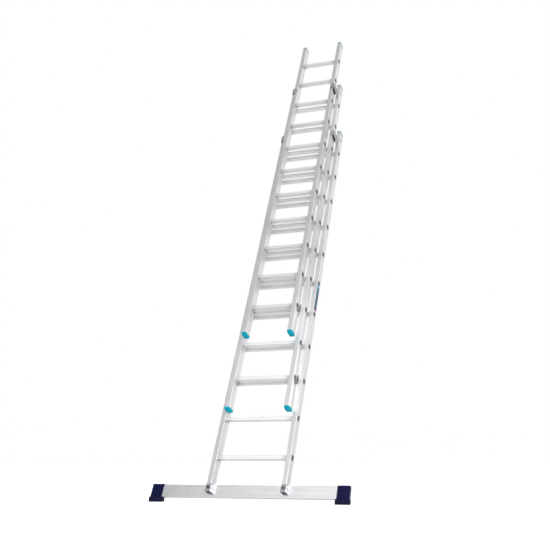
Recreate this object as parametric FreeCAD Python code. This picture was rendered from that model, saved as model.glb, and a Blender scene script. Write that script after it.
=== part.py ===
import FreeCAD, Part
import math
import os

# Three-section push-up extension ladder, leaning at its working angle.
# Row frame: +X to the climber's right, +Y away from the climber, +Z up.
# Origin: on the ground, midway between the two soles of the stabiliser bar.
# Every shape is drawn first in the ladder's own axes (x across, v through the
# depth from the climber's side to the wall side, u up along the stiles), with
# the centre of the base section's bottom rung at 0,0,0, and is then leaned back.

# ---------------------------------------------------------------- dimensions
LEAN = 71.0            # angle between stiles and ground, degrees
PITCH = 254.0          # rung spacing
RUNGS = 11             # rungs in each section
STILE_W = 30.0         # stile box width, across the ladder
STILE_D = 65.0         # stile box depth
WALL_SIDE = 1.8
WALL_FACE = 2.4
PANEL_W = 42.0         # shallow recessed panel along each side of a stile
PANEL_DEEP = 1.2
HALF = {"base": 256.0, "middle": 216.0, "fly": 176.0}     # outer half widths
DEPTH = {"base": 0.0, "middle": -60.0, "fly": -120.0}     # stile centre depths
RAISED = {"base": 0, "middle": 2, "fly": 4}               # rungs above the base, as stored
TOP_END = 222.0        # stile top above the top rung
TOP_CAP = 8.0
BOTTOM_END = 209.0     # upper sections: stile bottom below the bottom rung
SHOE_LOW = 222.0
BASE_END = 206.0       # base tongue bottom below the bottom rung
BRACKET_T = 2.1        # zinc-plated U bracket around the foot of each base stile
BRACKET_TOP = -170.0
BRACKET_LOW = -217.0
RUNG_D = 28.0
RUNG_H = 26.0
RUNG_R = 3.0
FLUTE_W = 6.0          # shallow flute along the middle of each rung face
FLUTE_DEEP = 1.3
RUNG_WALL = 1.6
BAR_TOP = -167.0       # stabiliser bar
BAR_H = 76.0
BAR_D = 25.0
BAR_HALF = 629.0
BAR_WALL = 2.0
CAP_IN = 559.0
CAP_OUT = 635.0
SOLE_H = 31.0
SOLE_FRONT = -15.0
SOLE_REAR = 24.0
GROUND = 260.0         # height of the bottom rung's centre above the ground
GUIDE_LOW = 10 * PITCH + 120.0
GUIDE_HIGH = 10 * PITCH + 182.0
PIVOT_V = 20.0         # hook pivot, from the stile centre and the bottom rung
PIVOT_U = -24.0
PIN_R = 4.0
HOOK_BORE_R = 4.06
HOOK_IN = 2.5          # hook plate, measured out from the stile's outer face
HOOK_OUT = 7.0

V = FreeCAD.Vector
os.makedirs("parts", exist_ok=True)

_a = math.radians(LEAN)
# ground point under the middle of the bar's foot
_foot_u = -GROUND / math.sin(_a) + 12.5 * math.cos(_a) / math.sin(_a)
_y0 = 12.5 * math.sin(_a) + _foot_u * math.cos(_a)


def lean(shape):
    s = shape.copy()
    s.rotate(V(0, 0, 0), V(1, 0, 0), -(90.0 - LEAN))
    s.translate(V(0, -_y0, GROUND))
    return s


def save(name, solids):
    if not isinstance(solids, (list, tuple)):
        solids = [solids]
    flat = []
    for s in solids:
        s = lean(s)
        flat.extend(s.Solids)
    out = flat[0] if len(flat) == 1 else Part.makeCompound(flat)
    for s in flat:
        if not s.isValid() or s.Volume <= 0:
            raise RuntimeError("bad solid in " + name)
    out.exportStep("parts/" + name + ".step")
    return out


def box(x0, x1, v0, v1, u0, u1):
    x0, x1 = min(x0, x1), max(x0, x1)
    return Part.makeBox(x1 - x0, v1 - v0, u1 - u0, V(x0, v0, u0))


def rounded(points):
    """Closed face from (a, b, r) corners in order; r is the corner radius."""
    n = len(points)
    ins, outs, arcs = [], [], []
    for i in range(n):
        ax, ay, r = points[i]
        px, py, _ = points[i - 1]
        nx, ny, _ = points[(i + 1) % n]
        d1 = math.hypot(px - ax, py - ay)
        d2 = math.hypot(nx - ax, ny - ay)
        e1 = ((px - ax) / d1, (py - ay) / d1)
        e2 = ((nx - ax) / d2, (ny - ay) / d2)
        if r <= 0:
            ins.append((ax, ay))
            outs.append((ax, ay))
            arcs.append(None)
            continue
        cosang = max(-1.0, min(1.0, e1[0] * e2[0] + e1[1] * e2[1]))
        half = math.acos(cosang) / 2.0
        t = r / math.tan(half)
        p1 = (ax + e1[0] * t, ay + e1[1] * t)
        p2 = (ax + e2[0] * t, ay + e2[1] * t)
        bx, by = e1[0] + e2[0], e1[1] + e2[1]
        bl = math.hypot(bx, by)
        h = r / math.sin(half)
        cx, cy = ax + bx / bl * h, ay + by / bl * h
        mx, my = cx - bx / bl * r, cy - by / bl * r
        ins.append(p1)
        outs.append(p2)
        arcs.append((mx, my))
    edges = []
    for i in range(n):
        if arcs[i] is not None:
            a, m, b = ins[i], arcs[i], outs[i]
            edges.append(Part.Arc(V(a[0], a[1], 0), V(m[0], m[1], 0), V(b[0], b[1], 0)).toShape())
        q = ins[(i + 1) % n]
        if math.hypot(q[0] - outs[i][0], q[1] - outs[i][1]) > 1e-6:
            edges.append(Part.makeLine(V(outs[i][0], outs[i][1], 0), V(q[0], q[1], 0)))
    return Part.Face(Part.Wire(edges))


def along_u(face, u0, u1):
    """Face drawn as (x, v), pushed along u."""
    f = face.copy()
    f.translate(V(0, 0, u0))
    return f.extrude(V(0, 0, u1 - u0))


def along_x(face, x0, x1):
    """Face drawn as (v, u), pushed along x."""
    x0, x1 = min(x0, x1), max(x0, x1)
    f = face.copy()
    pl = FreeCAD.Placement(V(x0, 0, 0), FreeCAD.Rotation(V(0, 1, 0), V(0, 0, 1), V(1, 0, 0), "ZXY"))
    f.Placement = pl.multiply(f.Placement)
    return f.extrude(V(x1 - x0, 0, 0))


def rod(x0, x1, v, u, r):
    x0, x1 = min(x0, x1), max(x0, x1)
    return Part.makeCylinder(r, x1 - x0, V(x0, v, u), V(1, 0, 0))


def rod_v(x, v0, v1, u, r):
    return Part.makeCylinder(r, v1 - v0, V(x, v0, u), V(0, 1, 0))


def hexagon_x(x0, x1, v, u, flats):
    r = flats / math.sqrt(3.0)
    pts = [(v + r * math.cos(math.radians(60 * i)), u + r * math.sin(math.radians(60 * i)), 0) for i in range(6)]
    return along_x(rounded(pts), x0, x1)


def hexagon_v(x, u, v0, v1, flats):
    r = flats / math.sqrt(3.0)
    pts = [V(x + r * math.cos(math.radians(60 * i)), v0, u + r * math.sin(math.radians(60 * i))) for i in range(6)]
    return Part.Face(Part.makePolygon(pts + [pts[0]])).extrude(V(0, v1 - v0, 0))


def level(section):
    return RAISED[section] * PITCH


# ---------------------------------------------------------------- profiles
def stile_outer():
    """Stile box outline about its own centre, (x, v)."""
    w, d, p, g = STILE_W / 2, STILE_D / 2, PANEL_W / 2, PANEL_DEEP
    return rounded([
        (-w, -d, 2.0), (w, -d, 2.0),
        (w, -p - g, 0.4), (w - g, -p, 0.4), (w - g, p, 0.4), (w, p + g, 0.4),
        (w, d, 2.0), (-w, d, 2.0),
        (-w, p + g, 0.4), (-w + g, p, 0.4), (-w + g, -p, 0.4), (-w, -p - g, 0.4),
    ])


def stile_inner(shrink=0.0):
    w = STILE_W / 2 - WALL_SIDE - PANEL_DEEP - shrink
    d = STILE_D / 2 - WALL_FACE - shrink
    return rounded([(-w, -d, 1.0), (w, -d, 1.0), (w, d, 1.0), (-w, d, 1.0)])


def rung_outline(grow=0.0, ribs=False):
    """Rung outline about its own centre, (v, u). The tread is serrated; the other faces are fluted."""
    a, b, r = RUNG_D / 2 + grow, RUNG_H / 2 + grow, RUNG_R + grow
    if not ribs:
        return rounded([(-a, -b, r), (a, -b, r), (a, b, r), (-a, b, r)])
    w, q, f = FLUTE_W / 2, 0.9, FLUTE_DEEP
    pts = [(-a, -b, r), (-w, -b, 0.3), (-w + q, -b + f, 0.3), (w - q, -b + f, 0.3), (w, -b, 0.3), (a, -b, r)]
    pts += [(a, -w, 0.3), (a - f, -w + q, 0.3), (a - f, w - q, 0.3), (a, w, 0.3), (a, b, r)]
    for c in (8.0, 4.0, 0.0, -4.0, -8.0):
        pts += [(c + 0.9, b, 0), (c + 0.5, b - 0.8, 0), (c - 0.5, b - 0.8, 0), (c - 0.9, b, 0)]
    pts += [(-a, b, r), (-a, w, 0.3), (-a + f, w - q, 0.3), (-a + f, -w + q, 0.3), (-a, -w, 0.3)]
    return rounded(pts)


def rung_bore():
    a, b, r = RUNG_D / 2 - RUNG_WALL, RUNG_H / 2 - RUNG_WALL, 1.6
    w, q, f = FLUTE_W / 2 + 0.7, 0.9, FLUTE_DEEP
    pts = [(-a, -b, r), (-w, -b, 0.3), (-w + q, -b + f, 0.3), (w - q, -b + f, 0.3), (w, -b, 0.3), (a, -b, r)]
    pts += [(a, -w, 0.3), (a - f, -w + q, 0.3), (a - f, w - q, 0.3), (a, w, 0.3), (a, b - 0.6, r), (-a, b - 0.6, r)]
    pts += [(-a, w, 0.3), (-a + f, w - q, 0.3), (-a + f, -w + q, 0.3), (-a, -w, 0.3)]
    return rounded(pts)


# ---------------------------------------------------------------- stiles
def make_stile(section, side):
    """side is +1 for the climber's right."""
    half, depth, lift = HALF[section], DEPTH[section], level(section)
    xc = side * (half - STILE_W / 2)
    low = -BASE_END if section == "base" else -BOTTOM_END
    high = (RUNGS - 1) * PITCH + TOP_END
    body = along_u(stile_outer(), low, high).cut(along_u(stile_inner(), low - 1, high + 1))
    cuts = []
    hole = along_x(rung_outline(0.05), -STILE_W, STILE_W)
    for k in range(RUNGS):
        h = hole.copy()
        h.translate(V(0, 0, k * PITCH))
        cuts.append(h)
    if section == "base":
        # rear of the lower end is notched for the stabiliser bar
        cuts.append(box(-STILE_W, STILE_W, -0.05, STILE_D, low - 2, BAR_TOP + 0.3))
        cuts.append(rod_v(0, -STILE_D, 0, BOLT_U, 4.1))
        cuts.append(rod(-STILE_W, STILE_W, SIDE_BOLT_V, SIDE_BOLT_U, 2.45))
    if section != "fly":
        for v in GUIDE_RIVETS:
            cuts.append(rod(-STILE_W, STILE_W, v[0], v[1], 3.05))
    if section != "base":
        cuts.append(rod(-STILE_W, STILE_W, PIVOT_V, PIVOT_U, PIN_R + 0.03))
        cuts.append(rod(0 if side > 0 else -STILE_W, STILE_W if side > 0 else 0, STOP[0], STOP[1], 2.0))
    body = body.cut(cuts)
    body.translate(V(xc, depth, lift))
    return body


BOLT_U = -191.0
SIDE_BOLT_V = -15.0
SIDE_BOLT_U = -194.0
GUIDE_RIVETS = [(-14.0, GUIDE_LOW + 30.0), (6.0, GUIDE_LOW + 30.0)]
STOP = (PIVOT_V - 15.0, PIVOT_U + 4.9)   # stop above the hook's front lobe

for section in ("base", "middle", "fly"):
    save(section + "_left_stile", make_stile(section, -1))
    save(section + "_right_stile", make_stile(section, 1))


# ---------------------------------------------------------------- rungs
def make_rung(section):
    half = HALF[section]
    out = half - PANEL_DEEP
    inner = half - STILE_W + PANEL_DEEP
    body = along_x(rung_outline(0, True), -out - 0.6, out + 0.6)
    rim = along_x(rung_outline(3.0), -out - 1.7, -out).fuse(along_x(rung_outline(3.0), out, out + 1.7))
    bead = along_x(rung_outline(2.2), -inner, -inner + 3.2).fuse(along_x(rung_outline(2.2), inner - 3.2, inner))
    body = body.fuse([rim, bead])
    body = body.cut(along_x(rung_bore(), -half - 5, half + 5))
    # mouths of the tube are flared over the stile
    mouth = along_x(rung_outline(0.9), out - 0.9, out + 5)
    other = along_x(rung_outline(0.9), -out - 5, -out + 0.9)
    body = body.cut([mouth.cut(along_x(rung_outline(4.0), out - 5, out + 0.2)), other.cut(along_x(rung_outline(4.0), -out - 0.2, -out + 5))])
    return body.removeSplitter()


for section in ("base", "middle", "fly"):
    one = make_rung(section)
    group = []
    for k in range(RUNGS):
        r = one.copy()
        r.translate(V(0, DEPTH[section], level(section) + k * PITCH))
        group.append(r)
    save(section + "_rungs", group)


# ---------------------------------------------------------------- end caps
def top_cap(section, side):
    xc = side * (HALF[section] - STILE_W / 2)
    u0 = (RUNGS - 1) * PITCH + TOP_END
    w, d = STILE_W / 2 + 0.8, STILE_D / 2 + 0.8
    r = STILE_D / 2        # flush with the stile's rear face
    plate = along_u(rounded([(-w, -d, 3), (w, -d, 3), (w, r, 3), (-w, r, 3)]), u0, u0 + TOP_CAP)
    try:
        top = [e for e in plate.Edges if e.BoundBox.ZMin > u0 + TOP_CAP - 0.01]
        plate = plate.makeFillet(2.5, top)
    except Exception:
        pass
    spigot = along_u(stile_inner(0.1), u0 - 22, u0)
    spigot = spigot.cut(box(-8, 8, -22, 22, u0 - 23, u0 - 3))
    cap = plate.fuse(spigot).removeSplitter()
    cap.translate(V(xc, DEPTH[section], level(section)))
    return cap


def bottom_shoe(section, side):
    """Moulded shoe under an upper section's stile: skirt round the front and sides, flush at the
    rear, rounded-off front and a plug inside."""
    xc = side * (HALF[section] - STILE_W / 2)
    w, d, r = STILE_W / 2 + 1.0, STILE_D / 2 + 1.2, STILE_D / 2
    face = rounded([
        (-d, -BOTTOM_END + 5, 1.2), (-d, -BOTTOM_END - 4.5, 3), (-12, -SHOE_LOW, 8),
        (r, -SHOE_LOW, 4), (r, -BOTTOM_END + 5, 1.2),
    ])
    body = along_x(face, -w, w)
    keep = along_u(rounded([(-w, -d, 3.5), (w, -d, 3.5), (w, r, 1.5), (-w, r, 1.5)]), -SHOE_LOW - 1, -BOTTOM_END + 6)
    body = body.common(keep)
    try:
        low = [e for e in body.Edges if e.BoundBox.ZMax < -SHOE_LOW + 0.01 and e.BoundBox.XLength < 0.01]
        body = body.makeFillet(1.5, low)
    except Exception:
        pass
    wo, do = STILE_W / 2 + 0.05, STILE_D / 2 + 0.05
    body = body.cut(along_u(rounded([(-wo, -do, 2.05), (wo, -do, 2.05), (wo, do + 20, 2.05), (-wo, do + 20, 2.05)]), -BOTTOM_END, -BOTTOM_END + 20))
    spigot = along_u(stile_inner(0.1), -BOTTOM_END - 1, -BOTTOM_END + 24)
    spigot = spigot.cut(box(-8, 8, -22, 22, -BOTTOM_END + 3, -BOTTOM_END + 30))
    body = body.fuse(spigot).removeSplitter()
    body.translate(V(xc, DEPTH[section], level(section)))
    return body


for section in ("base", "middle", "fly"):
    save(section + "_left_top_cap", top_cap(section, -1))
    save(section + "_right_top_cap", top_cap(section, 1))
for section in ("middle", "fly"):
    save(section + "_left_bottom_shoe", bottom_shoe(section, -1))
    save(section + "_right_bottom_shoe", bottom_shoe(section, 1))


def end_plug(side):
    """Closes the tongue at the foot of a base stile."""
    xc = side * (HALF["base"] - STILE_W / 2)
    w = STILE_W / 2
    f = STILE_D / 2
    plate = along_u(rounded([(-w, -f, 2.4), (w, -f, 2.4), (w, -0.4, 1), (-w, -0.4, 1)]), -BASE_END - 7, -BASE_END)
    iw = STILE_W / 2 - WALL_SIDE - PANEL_DEEP - 0.1
    idp = STILE_D / 2 - WALL_FACE - 0.1
    spigot = along_u(rounded([(-iw, -idp, 1.2), (iw, -idp, 1.2), (iw, -0.5, 0.5), (-iw, -0.5, 0.5)]), -BASE_END, -BASE_END + 8)
    plug = plate.fuse(spigot).removeSplitter()
    plug.translate(V(xc, 0, 0))
    return plug


save("base_left_end_plug", end_plug(-1))
save("base_right_end_plug", end_plug(1))


# ---------------------------------------------------------------- stabiliser
def stabiliser_bar():
    v0, v1, u0, u1 = 0.0, BAR_D, BAR_TOP - BAR_H, BAR_TOP
    outer = rounded([(v0, u0, 2), (v1, u0, 2), (v1, u1, 2), (v0, u1, 2)])
    t = BAR_WALL
    cavity = rounded([(v0 + t, u0 + t, 0.8), (v1 - t, u0 + t, 0.8), (v1 - t, u1 - t, 0.8), (v0 + t, u1 - t, 0.8)])
    bar = along_x(outer, -BAR_HALF, BAR_HALF).cut(along_x(cavity, -BAR_HALF - 1, BAR_HALF + 1))
    for side in (-1, 1):
        x = side * (HALF["base"] - STILE_W / 2)
        bar = bar.cut(rod_v(x, -1, BAR_D + 1, BOLT_U, 4.1))
    return bar


save("stabiliser_bar", stabiliser_bar())


def bar_cap(side):
    """Moulded end that slides over the bar, with a socket for the sole below it."""
    g = 3.2
    v0, v1, u0, u1 = -g, BAR_D + g, BAR_TOP - BAR_H - g, BAR_TOP + g
    outer = along_x(rounded([(v0, u0, 2.5), (v1, u0, 2.5), (v1, u1, 4), (v0, u1, 4)]), side * CAP_IN, side * CAP_OUT)
    try:
        end = [e for e in outer.Edges if abs(e.BoundBox.XMin - side * CAP_OUT) < 0.01 and abs(e.BoundBox.XMax - side * CAP_OUT) < 0.01]
        outer = outer.makeFillet(2.2, end)
    except Exception:
        pass
    c = 0.1
    pocket = along_x(rounded([(-c, BAR_TOP - BAR_H - c, 2), (BAR_D + c, BAR_TOP - BAR_H - c, 2), (BAR_D + c, BAR_TOP + c, 2), (-c, BAR_TOP + c, 2)]), side * (CAP_IN - 1), side * (BAR_HALF + 0.3))
    return outer.cut(pocket).removeSplitter()


def cap_blank(side, g):
    v0, v1, u0, u1 = -g, BAR_D + g, BAR_TOP - BAR_H - g, BAR_TOP + g
    return along_x(rounded([(v0, u0, 2.5), (v1, u0, 2.5), (v1, u1, 4), (v0, u1, 4)]), side * CAP_IN, side * (CAP_OUT + 20))


def level_block(x0, x1, z0, z1, y0, y1, r=5.0):
    """Block that is level once the ladder leans: heights z above the ground, y from the origin."""
    f = rounded([(y0, z0, r), (y1, z0, r), (y1, z1, r), (y0, z1, r)])
    b = along_x(f, x0, x1)
    b.translate(V(0, _y0, -GROUND))
    b.rotate(V(0, 0, 0), V(1, 0, 0), 90.0 - LEAN)
    return b


def bar_sole(side):
    """Level rubber boot moulded round the bottom of the cap, with cross grooves in its tread."""
    x0, x1 = CAP_IN - 7, CAP_OUT + 4
    s = level_block(side * x0, side * x1, 0.0, SOLE_H, SOLE_FRONT, SOLE_REAR, 9.0)
    low = level_block(side * x0, side * x1, 0.0, 16.0, SOLE_FRONT, SOLE_REAR, 4.0)
    s = s.fuse(low).removeSplitter()
    try:
        ends = [e for e in s.Edges if e.BoundBox.XLength < 0.01]
        s = s.makeFillet(3.5, ends)
    except Exception:
        pass
    inside = along_x(rounded([(-3.3, BAR_TOP - BAR_H - 3.3, 2.6), (BAR_D + 3.3, BAR_TOP - BAR_H - 3.3, 2.6), (BAR_D + 3.3, 0, 0), (-3.3, 0, 0)]),
                     side * (CAP_IN - 30), side * (CAP_OUT + 0.1))
    s = s.cut(inside)
    cuts = []
    n = 7
    for i in range(n):
        x = x0 + (i + 0.5) * (x1 - x0) / n
        cuts.append(level_block(side * (x - 1.5), side * (x + 1.5), -1.0, 2.0, -60.0, 60.0, 0))
    return s.cut(cuts)


for side, word in ((-1, "left"), (1, "right")):
    save("stabiliser_%s_cap" % word, bar_cap(side))
    save("stabiliser_%s_sole" % word, bar_sole(side))


def foot_bracket(side):
    """U of bent zinc-plated strap around the front and both sides of the stile's tongue."""
    w, f, t = STILE_W / 2 + 0.1, -STILE_D / 2 - 0.1, BRACKET_T
    u = rounded([(-w - t, f - t, 3.2), (w + t, f - t, 3.2), (w + t, -0.1, 0.4), (w, -0.1, 0.4), (w, f, 1.2), (-w, f, 1.2), (-w, -0.1, 0.4), (-w - t, -0.1, 0.4)])
    b = along_u(u, BRACKET_LOW, BRACKET_TOP)
    b = b.cut([rod_v(0, -STILE_D, 0, BOLT_U, 4.1), rod(-STILE_W, STILE_W, SIDE_BOLT_V, SIDE_BOLT_U, 2.45)])
    b.translate(V(side * (HALF["base"] - STILE_W / 2), 0, 0))
    return b


save("stabiliser_left_bracket", foot_bracket(-1))
save("stabiliser_right_bracket", foot_bracket(1))

bolts, nuts, side_bolts = [], [], []
for side in (-1, 1):
    x = side * (HALF["base"] - STILE_W / 2)
    front = -STILE_D / 2 - 0.1 - BRACKET_T
    bolts.append(rod_v(x, front - 0.0, BAR_D + 12, BOLT_U, 4.0)
                 .fuse([rod_v(x, front - 1.6, front, BOLT_U, 8.5), hexagon_v(x, BOLT_U, front - 6.9, front - 1.6, 13.0)])
                 .removeSplitter())
    nuts.append(hexagon_v(x, BOLT_U, BAR_D + 1.6, BAR_D + 8.4, 13.0).fuse(rod_v(x, BAR_D, BAR_D + 1.6, BOLT_U, 8.5))
                .cut(rod_v(x, BAR_D - 1, BAR_D + 10, BOLT_U, 4.05)).removeSplitter())
    reach = STILE_W / 2 + 0.1 + BRACKET_T
    xo, xi = x + side * reach, x - side * reach
    for face in (xi, xo):
        out = 1 if face > x else -1
        side_bolts.append(rod(face - out * 5.4, face, SIDE_BOLT_V, SIDE_BOLT_U, 2.4)
                          .fuse([rod(face, face + out * 1.8, SIDE_BOLT_V, SIDE_BOLT_U, 4.6),
                                 rod(face - out * 7.0, face - out * 5.4, SIDE_BOLT_V, SIDE_BOLT_U, 3.4)])
                          .removeSplitter())
save("stabiliser_bolts", bolts)
save("stabiliser_nuts", nuts)
save("base_foot_rivets", side_bolts)


# ---------------------------------------------------------------- guide brackets
def guide(lower, upper, side):
    """Bent steel strap riveted inside the lower section's stile top. It runs forward beside the
    upper section's stile and turns in across its front face."""
    s, vu, vl, lift = HALF[upper], DEPTH[upper], DEPTH[lower], level(lower)
    x_out, x_in = s + 10.0, s + 7.0
    front = vu - STILE_D / 2 - 6.5
    lo, hi = GUIDE_LOW, GUIDE_HIGH
    web = along_x(rounded([
        (front, lo + 4, 2), (vl - 40, lo, 6), (vl + 16, lo + 6, 8), (vl + 16, hi - 6, 8), (vl - 40, hi, 6), (front, hi - 6, 2),
    ]), side * x_in, side * x_out)
    lip_face = rounded([(0, lo + 4, 0.5), (x_out - (s - 23), lo + 4, 9), (x_out - (s - 23), hi - 6, 9), (0, hi - 6, 0.5)])
    lip = lip_face.copy()
    # lip drawn in (distance inwards, u); placed across the front
    pts_face = lip.extrude(V(0, 0, 3.0))
    m = FreeCAD.Matrix(-side, 0, 0, side * x_out, 0, 0, side if side > 0 else 1, front, 0, 1, 0, 0, 0, 0, 0, 1)
    if side > 0:
        m = FreeCAD.Matrix(-1, 0, 0, x_out, 0, 0, 1, front, 0, 1, 0, 0, 0, 0, 0, 1)
    else:
        m = FreeCAD.Matrix(1, 0, 0, -x_out, 0, 0, 1, front, 0, 1, 0, 0, 0, 0, 0, 1)
    lip = pts_face.transformGeometry(m)
    strap = web.fuse(lip).removeSplitter()
    holes = [rod(side * (x_in - 2), side * (x_out + 2), vl + r[0], r[1], 3.05) for r in GUIDE_RIVETS]
    strap = strap.cut(holes)
    strap.translate(V(0, 0, lift))
    return strap


def guide_liner(lower, upper, side):
    """Black plastic liner inside the strap."""
    s, vu, vl, lift = HALF[upper], DEPTH[upper], DEPTH[lower], level(lower)
    lo, hi = GUIDE_LOW - 14, GUIDE_HIGH - 9
    front = vu - STILE_D / 2 - 3.5
    a = box(side * (s + 2.2), side * (s + 7.0), front, vl - STILE_D / 2 - 1.0, lo, hi)
    b = box(side * (s - 20), side * (s + 2.2), front, front + 2.7, GUIDE_LOW + 8, hi)
    lin = a.fuse(b).removeSplitter()
    lin.translate(V(0, 0, lift))
    return lin


def guide_rivets(lower, side):
    x_half = HALF[lower]
    vl, lift = DEPTH[lower], level(lower)
    xo = side * (x_half - PANEL_DEEP)
    xi = side * (x_half - STILE_W - 3.0)
    out = []
    for v, u in GUIDE_RIVETS:
        r = rod(xi, xo, vl + v, u, 3.0)
        head = rod(xo, xo + side * 2.6, vl + v, u, 6.4)
        tail = rod(xi, xi - side * 1.4, vl + v, u, 5.6)
        r = r.fuse([head, tail]).removeSplitter()
        r.translate(V(0, 0, lift))
        out.append(r)
    return out


for lower, upper in (("base", "middle"), ("middle", "fly")):
    for side, word in ((-1, "left"), (1, "right")):
        save("%s_%s_guide_bracket" % (lower, word), guide(lower, upper, side))
        save("%s_%s_guide_liner" % (lower, word), guide_liner(lower, upper, side))
    save("%s_guide_rivets" % lower, guide_rivets(lower, -1) + guide_rivets(lower, 1))


# ---------------------------------------------------------------- rung hooks
def hook(section, side):
    """Gravity rung hook: a plate on a pin outside the stile. Its nose rests on top of the lower
    section's rung and drops just behind it."""
    s, vs, lift = HALF[section], DEPTH[section], level(section)
    pts = [(-8, -10, 4), (9, -9, 5), (22.5, 14, 6), (22.5, 37.4, 1.5), (54.6, 37.4, 0.6), (54.6, 34.8, 0.6),
           (60, 34.8, 1.5), (60, 42, 3), (42, 61, 7), (26, 64, 7), (12, 54, 10), (0, 18, 5), (-3, 2, 2),
           (-18.5, 2, 1.5), (-18.5, -4, 2.5)]
    plate = along_x(rounded(pts), side * (s + HOOK_IN), side * (s + HOOK_OUT))
    plate = plate.fuse(rod(side * (s + HOOK_IN), side * (s + HOOK_OUT), 0, 0, 11.0)).removeSplitter()
    plate = plate.cut(rod(side * (s + HOOK_IN - 2), side * (s + HOOK_OUT + 2), 0, 0, HOOK_BORE_R))
    plate.translate(V(0, vs + PIVOT_V, lift + PIVOT_U))
    return plate


def hook_pin(section, side):
    s, vs, lift = HALF[section], DEPTH[section], level(section)
    xi = s - STILE_W
    v, u = vs + PIVOT_V, lift + PIVOT_U
    pin = rod(side * (xi - 1.0), side * (s + HOOK_OUT + 0.3), v, u, PIN_R)
    parts = [
        rod(side * (xi - 2.6), side * xi, v, u, 7.5),
        rod(side * s, side * (s + HOOK_IN - 0.2), v, u, 8.0),
        rod(side * (s + HOOK_OUT + 0.2), side * (s + HOOK_OUT + 1.6), v, u, 7.5),
    ]
    return pin.fuse(parts).removeSplitter()


def stop_pin(section, side):
    s, vs, lift = HALF[section], DEPTH[section], level(section)
    v, u = vs + STOP[0], lift + STOP[1]
    return rod(side * (s - 6.0), side * (s + HOOK_OUT), v, u, 2.0).fuse(
        rod(side * (s - PANEL_DEEP), side * (s + HOOK_OUT), v, u, 2.5)).removeSplitter()


for section in ("middle", "fly"):
    for side, word in ((-1, "left"), (1, "right")):
        save("%s_%s_rung_hook" % (section, word), hook(section, side))
    save("%s_hook_pins" % section, [hook_pin(section, -1), hook_pin(section, 1)])
    save("%s_hook_stops" % section, [stop_pin(section, -1), stop_pin(section, 1)])


# ---------------------------------------------------------------- label
lab = along_x(rounded([(-19, 4 * PITCH + 30, 3), (19, 4 * PITCH + 30, 3), (19, 5 * PITCH - 30, 3), (-19, 5 * PITCH - 18, 3)]),
              HALF["base"] - PANEL_DEEP, HALF["base"] - PANEL_DEEP + 0.4)
save("base_blank_label", lab)
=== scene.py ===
import math

import bmesh
import bpy
from mathutils import Matrix, Vector

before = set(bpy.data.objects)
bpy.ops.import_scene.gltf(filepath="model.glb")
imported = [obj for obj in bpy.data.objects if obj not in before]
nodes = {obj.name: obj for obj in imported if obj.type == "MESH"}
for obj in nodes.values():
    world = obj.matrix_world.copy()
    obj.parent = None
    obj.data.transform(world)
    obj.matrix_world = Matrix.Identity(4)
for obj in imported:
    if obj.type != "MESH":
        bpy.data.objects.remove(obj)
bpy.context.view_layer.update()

# ------------------------------------------------------------------ ladder axes
# Ladder axes: x across, v through the depth (climber's side negative), u up the
# stiles; the origin is the base section's bottom rung. Metres throughout.
LEAN = math.radians(71.0)
S, C = math.sin(LEAN), math.cos(LEAN)
PITCH = 0.254
GROUND = 0.260
FOOT_U = -GROUND / S + 0.0125 * C / S
Y0 = -(0.0125 * S + FOOT_U * C)
HALF = {"base": 0.256, "middle": 0.216, "fly": 0.176}
DEPTH = {"base": 0.0, "middle": -0.060, "fly": -0.120}
LIFT = {"base": 0.0, "middle": 2 * PITCH, "fly": 4 * PITCH}


def W(x, v, u):
    return Vector((x, v * S + u * C + Y0, -v * C + u * S + GROUND))


LOCAL_TO_ROW = Matrix.Translation((0, Y0, GROUND)) @ Matrix.Rotation(-(math.pi / 2 - LEAN), 4, "X")

# ------------------------------------------------------------------ camera
cam_data = bpy.data.cameras.new("view_camera")
cam = bpy.data.objects.new("view_camera", cam_data)
bpy.context.scene.collection.objects.link(cam)
cam_data.sensor_width = 36.0
cam_data.lens = 634.786 * 36.0 / 550.0
cam_data.shift_x = -(377.166 - 275.0) / 550.0
cam_data.shift_y = (317.452 - 275.0) / 550.0
cam_data.clip_start = 0.05
cam_data.clip_end = 100.0
cam_data.dof.use_dof = False


def turn(a):
    return Vector((a[0], a[1] * S + a[2] * C, -a[1] * C + a[2] * S))


right = turn((0.9706521026868199, 0.22738661778377497, 0.0782931772411273)).normalized()
up = turn((0.05309382642869081, -0.5201477919901341, 0.8524243779262465))
fwd = turn((-0.23455391948295215, 0.8232506304526245, 0.516955373619949)).normalized()
up = (up - right * up.dot(right)).normalized()
back = right.cross(up)
m = Matrix((right, up, back)).transposed().to_4x4()
m.translation = W(1.688246981054742, -3.462485914947513, -1.2117038242671974)
cam.matrix_world = m
bpy.context.scene.camera = cam


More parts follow.
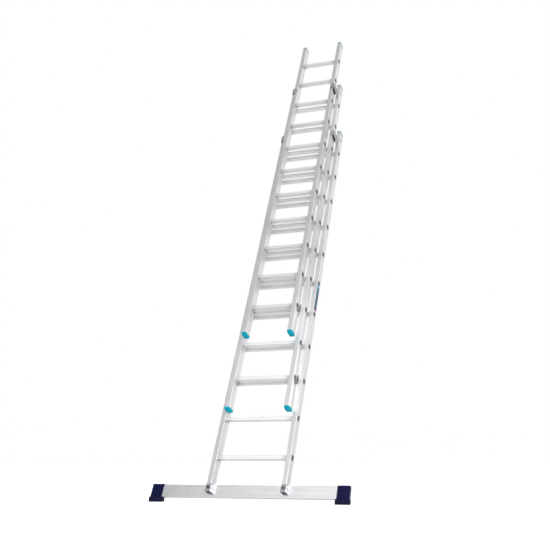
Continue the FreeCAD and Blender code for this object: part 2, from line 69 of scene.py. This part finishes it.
# ------------------------------------------------------------------ materials
class Tree:
    """Small helper around one material's node tree."""

    def __init__(self, name):
        self.mat = bpy.data.materials.new(name)
        self.mat.use_nodes = True
        self.nt = self.mat.node_tree
        self.nt.nodes.clear()
        self.out = self.nt.nodes.new("ShaderNodeOutputMaterial")
        self.bsdf = self.nt.nodes.new("ShaderNodeBsdfPrincipled")
        self.nt.links.new(self.bsdf.outputs["BSDF"], self.out.inputs["Surface"])
        self.tc = self.nt.nodes.new("ShaderNodeTexCoord")
        # coordinates turned into the ladder's own axes
        self.map = self.nt.nodes.new("ShaderNodeMapping")
        self.map.vector_type = "POINT"
        self.map.inputs["Rotation"].default_value = (math.pi / 2 - LEAN, 0, 0)
        self.map.inputs["Location"].default_value = (0, -(S * Y0 - C * GROUND), -(C * Y0 + S * GROUND))
        self.nt.links.new(self.tc.outputs["Object"], self.map.inputs["Vector"])
        self.axes = self.map.outputs["Vector"]

    def link(self, a, b):
        self.nt.links.new(a, b)

    def scaled(self, scale, src=None):
        n = self.nt.nodes.new("ShaderNodeMapping")
        n.inputs["Scale"].default_value = scale
        self.link(src or self.axes, n.inputs["Vector"])
        return n.outputs["Vector"]

    def noise(self, scale, detail=3.0, rough=0.55, stretch=None, src=None):
        n = self.nt.nodes.new("ShaderNodeTexNoise")
        n.inputs["Scale"].default_value = scale
        n.inputs["Detail"].default_value = detail
        n.inputs["Roughness"].default_value = rough
        self.link(self.scaled(stretch, src) if stretch else (src or self.axes), n.inputs["Vector"])
        return n.outputs["Fac"]

    def cells(self, scale, stretch=None, feature="F1"):
        n = self.nt.nodes.new("ShaderNodeTexVoronoi")
        n.feature = feature
        n.inputs["Scale"].default_value = scale
        self.link(self.scaled(stretch) if stretch else self.axes, n.inputs["Vector"])
        return n.outputs["Distance"]

    def span(self, src, a, b, c, d, smooth=False):
        n = self.nt.nodes.new("ShaderNodeMapRange")
        if smooth:
            n.interpolation_type = "SMOOTHSTEP"
        n.inputs["From Min"].default_value = a
        n.inputs["From Max"].default_value = b
        n.inputs["To Min"].default_value = c
        n.inputs["To Max"].default_value = d
        self.link(src, n.inputs["Value"])
        return n.outputs["Result"]

    def calc(self, op, a, b):
        n = self.nt.nodes.new("ShaderNodeMath")
        n.operation = op
        for i, x in enumerate((a, b)):
            if isinstance(x, (int, float)):
                n.inputs[i].default_value = x
            else:
                self.link(x, n.inputs[i])
        return n.outputs[0]

    def mix(self, fac, a, b):
        n = self.nt.nodes.new("ShaderNodeMix")
        n.data_type = "RGBA"
        if isinstance(fac, (int, float)):
            n.inputs[0].default_value = fac
        else:
            self.link(fac, n.inputs[0])
        for sock, x in ((n.inputs[6], a), (n.inputs[7], b)):
            if isinstance(x, (tuple, list)):
                sock.default_value = (*x, 1.0)
            else:
                self.link(x, sock)
        return n.outputs[2]

    def bump(self, height, strength, distance, chain=None):
        n = self.nt.nodes.new("ShaderNodeBump")
        n.inputs["Strength"].default_value = strength
        n.inputs["Distance"].default_value = distance
        self.link(height, n.inputs["Height"])
        if chain is not None:
            self.link(chain, n.inputs["Normal"])
        return n.outputs["Normal"]

    def part(self, i, src=None):
        n = self.nt.nodes.new("ShaderNodeSeparateXYZ")
        self.link(src or self.axes, n.inputs[0])
        return n.outputs[i]


def rung_masks(t, section):
    """Distances from the nearest rung axis of one section, in ladder axes."""
    dv = t.calc("ABSOLUTE", t.calc("SUBTRACT", t.part(1), DEPTH[section]), 0)
    n = t.calc("MODULO", t.calc("ADD", t.part(2), 40.5 * PITCH), PITCH)
    du = t.calc("ABSOLUTE", t.calc("SUBTRACT", n, PITCH / 2), 0)
    return dv, du


def metal(name, light, dark, rough, metallic, grain, streak=0.5, scuff=0.25, spec=0.5, section=None, tube=False):
    """Drawn aluminium or plated steel: grain lines along one ladder axis, dull
    blooms, fine scratches and small dark marks."""
    t = Tree(name)
    b = t.bsdf
    b.inputs["Metallic"].default_value = metallic
    b.inputs["Specular IOR Level"].default_value = spec
    fine = {"u": (900, 900, 9), "x": (9, 900, 900)}[grain]
    mid = {"u": (160, 160, 1.6), "x": (1.6, 160, 160)}[grain]
    g1 = t.noise(1.0, 2.0, 0.6, fine)
    g2 = t.noise(1.0, 3.0, 0.6, mid)
    bloom = t.noise(6.0, 5.0, 0.6)
    fleck = t.noise(95.0, 4.0, 0.7)
    col = t.mix(t.span(g2, 0.3, 0.7, 0, 1), dark, light)
    col = t.mix(t.calc("MULTIPLY", t.span(bloom, 0.42, 0.72, 0, 1, True), streak), col, tuple(min(1, c * 1.06) for c in light))
    mark = t.calc("MULTIPLY", t.span(fleck, 0.66, 0.78, 0, 1, True), scuff)
    col = t.mix(mark, col, tuple(c * 0.55 for c in dark))
    r = t.calc("ADD", t.span(g1, 0.25, 0.75, rough - 0.07, rough + 0.07), t.span(bloom, 0.35, 0.75, -0.05, 0.09))
    if section:
        dv, du = rung_masks(t, section)
        if tube:
            # the inside of the tube is dull, and painted dark grey as the shade inside the bore
            inside = t.calc("MULTIPLY", t.span(dv, 0.01252, 0.01258, 1, 0), t.span(du, 0.01152, 0.01158, 1, 0))
            col = t.mix(inside, col, (0.26, 0.258, 0.26))
            r = t.calc("MAXIMUM", r, t.calc("MULTIPLY", inside, 0.85))
            # press marks beside the collars at both stiles, with painted contact shade cast by the stiles
            ax = t.calc("ABSOLUTE", t.part(0), 0)
            near = t.span(ax, HALF[section] - 0.030 - 0.055, HALF[section] - 0.030 - 0.001, 0, 1)
            near = t.calc("MULTIPLY", t.calc("POWER", near, 1.6), t.span(t.noise(120.0, 4.0, 0.7, (0.35, 1, 1)), 0.38, 0.62, 0.10, 0.85))
            col = t.mix(near, col, (0.33, 0.325, 0.32))
            # painted shade in the flutes and painted dark reflection along the rounded arrises, broken up by noise
            flute = t.calc("MAXIMUM",
                           t.calc("MULTIPLY", t.span(dv, 0.0116, 0.0120, 0, 1), t.span(du, 0.0028, 0.0036, 1, 0, True)),
                           t.calc("MULTIPLY", t.span(du, 0.0106, 0.0110, 0, 1), t.span(dv, 0.0028, 0.0036, 1, 0, True)))
            arris = t.calc("MULTIPLY", t.span(dv, 0.0114, 0.0124, 0, 1, True), t.span(du, 0.0104, 0.0114, 0, 1, True))
            patchy = t.span(t.noise(40.0, 4.0, 0.7, (0.12, 1, 1)), 0.3, 0.7, 0.55, 1.0)
            col = t.mix(t.calc("MULTIPLY", t.calc("MULTIPLY", flute, patchy), 0.30), col, (0.34, 0.335, 0.33))
            col = t.mix(t.calc("MULTIPLY", t.calc("MULTIPLY", arris, patchy), 0.85), col, (0.20, 0.195, 0.19))
            # painted dark shade ring on the flared lip outside the stile
            lip = t.span(ax, HALF[section] - 0.0011, HALF[section] - 0.0009, 0, 1)
            col = t.mix(t.calc("MULTIPLY", lip, 0.85), col, (0.12, 0.12, 0.122))
        else:
            # painted contact shade plus grime ring where each rung is pressed into the stile
            ring = t.calc("MULTIPLY", t.span(dv, 0.016, 0.0215, 1, 0, True), t.span(du, 0.015, 0.0205, 1, 0, True))
            ring = t.calc("MULTIPLY", ring, t.span(t.noise(90.0, 4.0, 0.7), 0.3, 0.7, 0.25, 0.7))
            col = t.mix(ring, col, (0.36, 0.355, 0.35))
    t.link(col, b.inputs["Base Color"])
    t.link(r, b.inputs["Roughness"])
    n = t.bump(g1, 0.22, 0.00012)
    n = t.bump(g2, 0.12, 0.0003, n)
    # long shallow scratches
    sc = t.cells(1.0, {"u": (70, 70, 5), "x": (5, 70, 70)}[grain], "DISTANCE_TO_EDGE")
    n = t.bump(t.span(sc, 0.0, 0.012, 0.0, 1.0), 0.10, 0.00015, n)
    t.link(n, b.inputs["Normal"])
    return t.mat


def plastic(name, base, lighter, darker, rough, spec=0.5, grain=900.0, scuff=0.4):
    """Moulded plastic: fine spark-eroded texture, flow variation and pale scuffs."""
    t = Tree(name)
    b = t.bsdf
    b.inputs["Specular IOR Level"].default_value = spec
    tex = t.noise(grain, 2.0, 0.5)
    flow = t.noise(22.0, 4.0, 0.6)
    wear = t.noise(60.0, 6.0, 0.72)
    col = t.mix(t.span(flow, 0.3, 0.7, 0, 1), darker, base)
    col = t.mix(t.calc("MULTIPLY", t.span(wear, 0.6, 0.74, 0, 1, True), scuff), col, lighter)
    t.link(col, b.inputs["Base Color"])
    t.link(t.calc("ADD", t.span(tex, 0.3, 0.7, rough - 0.06, rough + 0.06), t.span(wear, 0.5, 0.8, 0.0, 0.1)), b.inputs["Roughness"])
    n = t.bump(tex, 0.25, 0.00015)
    n = t.bump(wear, 0.12, 0.0003, n)
    t.link(n, b.inputs["Normal"])
    return t.mat


STILE_TONE = {"base": 0.80, "middle": 0.84, "fly": 0.82}
stile_mat = {k: metal("stile_drawn_aluminium_" + k, (g, g, g + 0.012), (g - 0.10, g - 0.10, g - 0.085), 0.36, 0.88, "u", 0.5, 0.25, section=k)
             for k, g in STILE_TONE.items()}
# rung tone and metalness per section: base and middle rungs painted lighter to cancel the shade from the sections in
# front, fly rungs painted darker
RUNG_TONE = {"base": (0.99, 0.22), "middle": (0.985, 0.30), "fly": (0.90, 0.48)}
rung_mat = {k: metal("rung_drawn_aluminium_" + k, (g, g - 0.004, g - 0.008), (g - 0.05, g - 0.05, g - 0.05), 0.36, m, "x", 0.4, 0.22, 0.35, section=k, tube=True)
            for k, (g, m) in RUNG_TONE.items()}
bar_mat = metal("bar_drawn_aluminium", (0.84, 0.84, 0.86), (0.72, 0.72, 0.74), 0.30, 0.92, "x", 0.55, 0.2)
guide_mat = metal("guide_pressed_steel", (0.58, 0.58, 0.59), (0.42, 0.42, 0.43), 0.42, 0.9, "u", 0.3, 0.5)
hook_mat = metal("hook_plated_steel", (0.40, 0.40, 0.41), (0.28, 0.28, 0.29), 0.42, 0.9, "u", 0.4, 0.4)
pin_mat = metal("pin_plated_steel", (0.45, 0.45, 0.46), (0.32, 0.32, 0.33), 0.38, 0.95, "x", 0.4, 0.4)
zinc_mat = metal("bright_zinc_steel", (0.50, 0.51, 0.53), (0.40, 0.41, 0.43), 0.50, 0.95, "u", 0.6, 0.35)
bolt_mat = metal("dark_bolt_steel", (0.16, 0.16, 0.165), (0.08, 0.08, 0.085), 0.40, 0.9, "x", 0.4, 0.3)
rivet_mat = metal("formed_rivet_aluminium", (0.42, 0.42, 0.43), (0.28, 0.28, 0.29), 0.45, 0.9, "x", 0.3, 0.5)
teal_mat = plastic("teal_moulding", (0.0, 0.42, 0.56), (0.06, 0.52, 0.64), (0.0, 0.34, 0.48), 0.50, 0.10)
# top caps: the teal moulding painted darker as painted shade, a shaded copy of teal_moulding
shaded_cap_mat = plastic("cap_moulding_painted_shade", (0.0, 0.24, 0.31), (0.06, 0.36, 0.44), (0.0, 0.18, 0.25), 0.50, 0.10)
navy_mat = plastic("navy_moulding", (0.0050, 0.0065, 0.058), (0.034, 0.036, 0.11), (0.0020, 0.0026, 0.032), 0.44, 0.14)
sole_mat = plastic("sole_rubber", (0.0045, 0.0055, 0.042), (0.032, 0.034, 0.075), (0.0025, 0.003, 0.026), 0.58, 0.2, 500.0, 0.5)
black_mat = plastic("black_nylon", (0.010, 0.010, 0.011), (0.06, 0.06, 0.06), (0.005, 0.005, 0.006), 0.5, 0.25)


def label_material():
    """Blank sticker: coloured fields only, slightly glossy, with worn edges."""
    t = Tree("blank_sticker")
    b = t.bsdf
    b.inputs["Specular IOR Level"].default_value = 0.12
    frac = t.span(t.part(2), 4 * PITCH + 0.030, 5 * PITCH - 0.018, 0.0, 1.0)
    v = t.part(1)
    col = t.mix(t.span(frac, 0.86, 0.87, 0, 1), (0.030, 0.125, 0.195), (0.01, 0.36, 0.56))
    col = t.mix(t.span(frac, 0.060, 0.066, 1, 0), col, (0.15, 0.018, 0.055))
    col = t.mix(t.span(v, 0.0142, 0.0146, 0, 1), col, (0.16, 0.03, 0.09))
    col = t.mix(t.span(v, -0.0136, -0.0132, 1, 0), col, (0.015, 0.03, 0.11))
    n = t.noise(140.0, 4.0, 0.7)
    col = t.mix(t.calc("MULTIPLY", t.span(n, 0.62, 0.76, 0, 1, True), 0.2), col, (0.30, 0.36, 0.40))
    t.link(col, b.inputs["Base Color"])
    t.link(t.span(n, 0.3, 0.7, 0.32, 0.48), b.inputs["Roughness"])
    t.link(t.bump(n, 0.1, 0.0001), b.inputs["Normal"])
    return t.mat


label_mat = label_material()


def finish(node, mat):
    o = nodes[node]
    o.data.materials.clear()
    o.data.materials.append(mat)


for n in nodes:
    if n.endswith("stile"):
        finish(n, stile_mat[n.split("_")[0]])
    elif n.endswith("rungs"):
        finish(n, rung_mat[n.split("_")[0]])
    elif n.endswith("top_cap"):
        finish(n, shaded_cap_mat)
    elif n.endswith("bottom_shoe"):
        finish(n, teal_mat)
    elif n.endswith("end_plug") or n.endswith("guide_liner"):
        finish(n, black_mat)
    elif n.endswith("guide_bracket"):
        finish(n, guide_mat)
    elif n.endswith("rivets"):
        finish(n, rivet_mat)
    elif n == "base_blank_label":
        finish(n, label_mat)
    elif n == "stabiliser_bar":
        finish(n, bar_mat)
    elif n in ("stabiliser_left_cap", "stabiliser_right_cap"):
        finish(n, navy_mat)
    elif n.endswith("sole"):
        finish(n, sole_mat)
    elif n in ("stabiliser_bolts", "stabiliser_nuts"):
        finish(n, bolt_mat)
    elif n.startswith("stabiliser"):
        finish(n, zinc_mat)
    elif n.endswith("hook_pins") or n.endswith("hook_stops"):
        finish(n, pin_mat)
    elif n.endswith("rung_hook"):
        finish(n, hook_mat)
    else:
        raise RuntimeError("no material for " + n)

# ------------------------------------------------------------------ studio
TENT_LOW = 1.20
TENT_TOP = 0.51
TENT_LEFT = 0.17
TENT_REAR = 0.80

def floor():
    bm = bmesh.new()
    bmesh.ops.create_grid(bm, x_segments=24, y_segments=24, size=30.0)
    me = bpy.data.meshes.new("studio_floor")
    bm.to_mesh(me)
    bm.free()
    ob = bpy.data.objects.new("studio_floor", me)
    bpy.context.scene.collection.objects.link(ob)
    mt = bpy.data.materials.new("studio_floor_paper")
    mt.use_nodes = True
    bs = mt.node_tree.nodes["Principled BSDF"]
    bs.inputs["Base Color"].default_value = (0.94, 0.94, 0.94, 1)
    bs.inputs["Roughness"].default_value = 0.9
    bs.inputs["Specular IOR Level"].default_value = 0.1
    bs.inputs["Emission Color"].default_value = (1, 1, 1, 1)
    # the sweep is lit from below for the lens only, so it meets the backdrop without a line
    path = mt.node_tree.nodes.new("ShaderNodeLightPath")
    glow = mt.node_tree.nodes.new("ShaderNodeMath")
    glow.operation = "MULTIPLY"
    glow.inputs[1].default_value = 0.5
    mt.node_tree.links.new(path.outputs["Is Camera Ray"], glow.inputs[0])
    mt.node_tree.links.new(glow.outputs[0], bs.inputs["Emission Strength"])
    me.materials.append(mt)


floor()

world = bpy.data.worlds.new("studio_world")
bpy.context.scene.world = world
world.use_nodes = True
wt = world.node_tree
bg = wt.nodes["Background"]
wtc = wt.nodes.new("ShaderNodeTexCoord")
wsep = wt.nodes.new("ShaderNodeSeparateXYZ")
wt.links.new(wtc.outputs["Generated"], wsep.inputs[0])


def wspan(src, a, b, c, d):
    n = wt.nodes.new("ShaderNodeMapRange")
    n.interpolation_type = "SMOOTHSTEP"
    for k, x in zip(("From Min", "From Max", "To Min", "To Max"), (a, b, c, d)):
        n.inputs[k].default_value = x
    wt.links.new(src, n.inputs["Value"])
    return n.outputs["Result"]


def wmath(op, a, b):
    n = wt.nodes.new("ShaderNodeMath")
    n.operation = op
    for i, x in enumerate((a, b)):
        if isinstance(x, (int, float)):
            n.inputs[i].default_value = x
        else:
            wt.links.new(x, n.inputs[i])
    return n.outputs[0]


# soft tent: pale all round, dimmer overhead and a little dimmer to the left
tent = wmath("MULTIPLY", wspan(wsep.outputs[2], 0.60, 0.80, TENT_LOW, TENT_TOP), wspan(wsep.outputs[0], -0.60, -0.38, TENT_LEFT, 1.0))
tent = wmath("MULTIPLY", tent, wspan(wsep.outputs[1], -0.30, 0.40, 1.0, TENT_REAR))
seen = wt.nodes.new("ShaderNodeLightPath")
level = wmath("ADD", wmath("MULTIPLY", seen.outputs["Is Camera Ray"], 1.0), wmath("MULTIPLY", wmath("SUBTRACT", 1.0, seen.outputs["Is Camera Ray"]), tent))
bg.inputs[0].default_value = (1, 1, 1, 1)
wt.links.new(level, bg.inputs[1])


def area(name, loc, target, size, power):
    d = bpy.data.lights.new(name, "AREA")
    d.shape = "RECTANGLE"
    d.size, d.size_y = size
    d.energy = power
    o = bpy.data.objects.new(name, d)
    bpy.context.scene.collection.objects.link(o)
    o.location = loc
    o.rotation_euler = (Vector(target) - Vector(loc)).to_track_quat("-Z", "Y").to_euler()
    return o


area("key_light", (4.5, -5.2, 3.8), (0, 0.5, 1.9), (3.0, 3.0), 250.0)
area("fill_light", (-6.0, 3.0, 4.5), (0, 0.6, 1.8), (4.0, 4.0), 110.0)
bpy.context.scene.view_settings.view_transform = "Standard"
bpy.context.scene.view_settings.look = "None"
